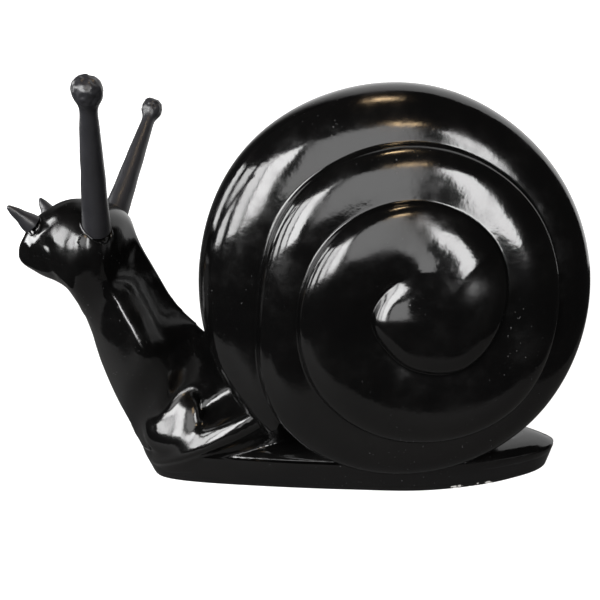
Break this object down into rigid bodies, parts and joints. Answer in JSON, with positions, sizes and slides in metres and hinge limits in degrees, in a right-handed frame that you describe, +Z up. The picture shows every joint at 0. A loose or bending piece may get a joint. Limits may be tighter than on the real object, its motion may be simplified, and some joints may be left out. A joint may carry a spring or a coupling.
{
  "type": "snail figurine",
  "caption": "Gloss black snail ornament with a coiled shell in joined halves, a raised head on a bowed neck, knobbed eye stalks and short feelers.",
  "frame": {"origin": "on the surface it stands on, under the middle of its length and width", "axes": "+Z up, the head toward -X, the tail toward +X, +Y to the snail's right"},
  "size_m": [0.5872, 0.287, 0.4224],
  "materials": {
    "lacquer": "black lacquer, high gloss, hand sanded",
    "filler": "filler bead under the same black lacquer",
    "steel": "bright drawn steel",
    "brass": "turned brass",
    "dowel_wood": "plain beech",
    "board": "dark hardboard",
    "felt": "black felt"
  },
  "bodies": {
    "root": {"base_plate": "board", "base_screw_front": "steel", "base_screw_middle": "steel", "base_screw_rear": "steel", "body": "lacquer", "eye_stalk_bead_left": "filler", "eye_stalk_bead_right": "filler", "eye_stalk_left": "lacquer", "eye_stalk_right": "lacquer", "eye_stalk_rod_left": "steel", "eye_stalk_rod_right": "steel", "feeler_bead_left": "filler", "feeler_bead_right": "filler", "feeler_left": "lacquer", "feeler_pin_left": "steel", "feeler_pin_right": "steel", "feeler_right": "lacquer", "felt_pads": "felt", "shell_bolt_left": "steel", "shell_bolt_right": "steel", "shell_dowel_front": "dowel_wood", "shell_dowel_rear": "dowel_wood", "shell_dowel_top": "dowel_wood", "shell_insert_left": "brass", "shell_insert_right": "brass", "shell_left": "lacquer", "shell_right": "lacquer", "shell_washer_left": "steel", "shell_washer_right": "steel"}
  },
  "joints": []
}
